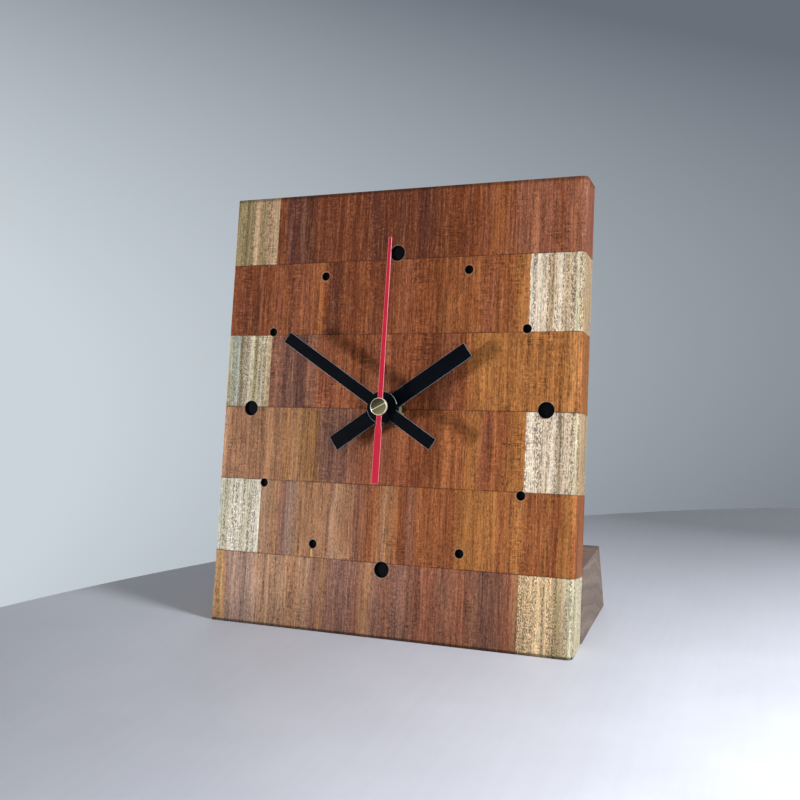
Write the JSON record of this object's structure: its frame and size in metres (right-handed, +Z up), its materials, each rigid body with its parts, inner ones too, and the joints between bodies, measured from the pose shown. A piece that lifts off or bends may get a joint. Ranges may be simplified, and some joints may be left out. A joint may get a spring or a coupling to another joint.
{
  "type": "desk clock",
  "caption": "Wooden desk clock: a tall slab of glued two-tone wood courses leaning back on a dark block, with drilled hour marks, baton hands and a battery movement behind.",
  "frame": {"origin": "on the table, under the middle of the clock's outline seen from above", "axes": "+X to the right as the clock is read, +Y to the back, +Z up; the face looks along -Y"},
  "size_m": [0.12, 0.0532, 0.1389],
  "materials": {
    "heartwood": "planed and oiled, open grain, red-brown",
    "sapwood": "planed and oiled, cream with dark pore lines",
    "dark_wood": "planed and oiled, grey-brown",
    "dowel_wood": "plain turned dowel",
    "mark_filling": "black filler, satin",
    "case_plastic": "black moulded plastic, fine texture",
    "washer_rubber": "black rubber",
    "polished_brass": "turned and polished",
    "cell_jacket": "printed metal jacket, glossy",
    "contact_steel": "nickel-plated spring strip",
    "board_laminate": "green lacquered laminate",
    "chip_plastic": "black moulded",
    "crystal_can": "drawn metal can",
    "lamination_steel": "punched magnetic sheet",
    "bobbin_plastic": "white moulded",
    "enamelled_copper": "enamelled fine copper wire, stands as brass",
    "magnet": "sintered magnet, matt",
    "gear_white": "white moulded acetal",
    "gear_brown": "tan moulded acetal",
    "arbor_steel": "polished steel wire",
    "hand_black": "stamped, satin black lacquer",
    "hand_red": "stamped, gloss red lacquer",
    "knob_plastic": "black moulded, fluted"
  },
  "bodies": {
    "clock": {"course_1_heartwood": "heartwood", "course_1_sapwood": "sapwood", "course_2_heartwood": "heartwood", "course_2_sapwood": "sapwood", "course_3_heartwood": "heartwood", "course_3_sapwood": "sapwood", "course_4_heartwood": "heartwood", "course_4_sapwood": "sapwood", "course_5_heartwood": "heartwood", "course_5_sapwood": "sapwood", "course_6_heartwood": "heartwood", "course_6_sapwood": "sapwood", "large_hour_marks": "mark_filling", "small_hour_marks": "mark_filling", "base_block": "dark_wood", "base_dowels": "dowel_wood", "front_case": "case_plastic", "rear_cover": "case_plastic", "rubber_washer": "washer_rubber", "hex_nut": "polished_brass", "contact_positive": "contact_steel", "contact_negative": "contact_steel", "circuit_board": "board_laminate", "control_chip": "chip_plastic", "quartz_crystal": "crystal_can", "coil_core": "lamination_steel", "coil_bobbin": "bobbin_plastic", "coil_winding": "enamelled_copper", "stator": "lamination_steel", "train_plate": "bobbin_plastic"},
    "seconds_group": {"seconds_wheel": "gear_white", "seconds_arbor": "arbor_steel", "second_hand": "hand_red", "second_hand_collet": "polished_brass", "second_hand_cap": "polished_brass"},
    "rotor": {"rotor_magnet": "magnet", "rotor_pinion": "gear_white"},
    "intermediate": {"intermediate_wheel": "gear_white"},
    "third": {"third_wheel": "gear_brown"},
    "centre": {"centre_wheel": "gear_white"},
    "minute_group": {"minute_cannon": "gear_brown", "minute_hand": "hand_black"},
    "minute_work": {"minute_work_wheel": "gear_white"},
    "hour_group": {"hour_wheel": "gear_brown", "hour_hand": "hand_black"},
    "setting": {"setting_shaft": "gear_white", "setting_knob": "knob_plastic"},
    "cell": {"battery": "cell_jacket"}
  },
  "joints": [
    {"name": "second_spin", "type": "hinge", "parent": "clock", "child": "seconds_group", "pos_m": [0, -0.01188, 0.06945], "axis": [0, 0.9781, -0.2079], "continuous": true},
    {"name": "rotor_spin", "type": "hinge", "parent": "clock", "child": "rotor", "pos_m": [0.00523, -0.00936, 0.08134], "axis": [0, 0.9781, -0.2079], "continuous": true},
    {"name": "intermediate_spin", "type": "hinge", "parent": "clock", "child": "intermediate", "pos_m": [0.00367, -0.01056, 0.07567], "axis": [0, 0.9781, -0.2079], "continuous": true},
    {"name": "third_spin", "type": "hinge", "parent": "clock", "child": "third", "pos_m": [-0.00624, -0.01114, 0.07297], "axis": [0, 0.9781, -0.2079], "continuous": true},
    {"name": "centre_spin", "type": "hinge", "parent": "clock", "child": "centre", "pos_m": [0, -0.01188, 0.06945], "axis": [0, 0.9781, -0.2079], "continuous": true},
    {"name": "minute_spin", "type": "hinge", "parent": "clock", "child": "minute_group", "pos_m": [0, -0.01188, 0.06945], "axis": [0, 0.9781, -0.2079], "continuous": true},
    {"name": "minute_work_spin", "type": "hinge", "parent": "clock", "child": "minute_work", "pos_m": [0.00564, -0.01231, 0.06744], "axis": [0, 0.9781, -0.2079], "continuous": true},
    {"name": "hour_spin", "type": "hinge", "parent": "clock", "child": "hour_group", "pos_m": [0, -0.01188, 0.06945], "axis": [0, 0.9781, -0.2079], "continuous": true},
    {"name": "setting_spin", "type": "hinge", "parent": "clock", "child": "setting", "pos_m": [0.01128, -0.01274, 0.06543], "axis": [0, 0.9781, -0.2079], "continuous": true},
    {"name": "battery_slide", "type": "slide", "parent": "clock", "child": "cell", "axis": [0, 0.9781, -0.2079], "range_m": [0, 0.018]}
  ],
  "couplings": [
    {"joint": "rotor_spin", "follows": "second_spin", "ratio": 30},
    {"joint": "intermediate_spin", "follows": "second_spin", "ratio": -6},
    {"joint": "third_spin", "follows": "second_spin", "ratio": -0.13333},
    {"joint": "centre_spin", "follows": "second_spin", "ratio": 0.016667},
    {"joint": "minute_work_spin", "follows": "minute_spin", "ratio": -0.33333},
    {"joint": "hour_spin", "follows": "minute_spin", "ratio": 0.083333},
    {"joint": "setting_spin", "follows": "minute_spin", "ratio": 1}
  ]
}
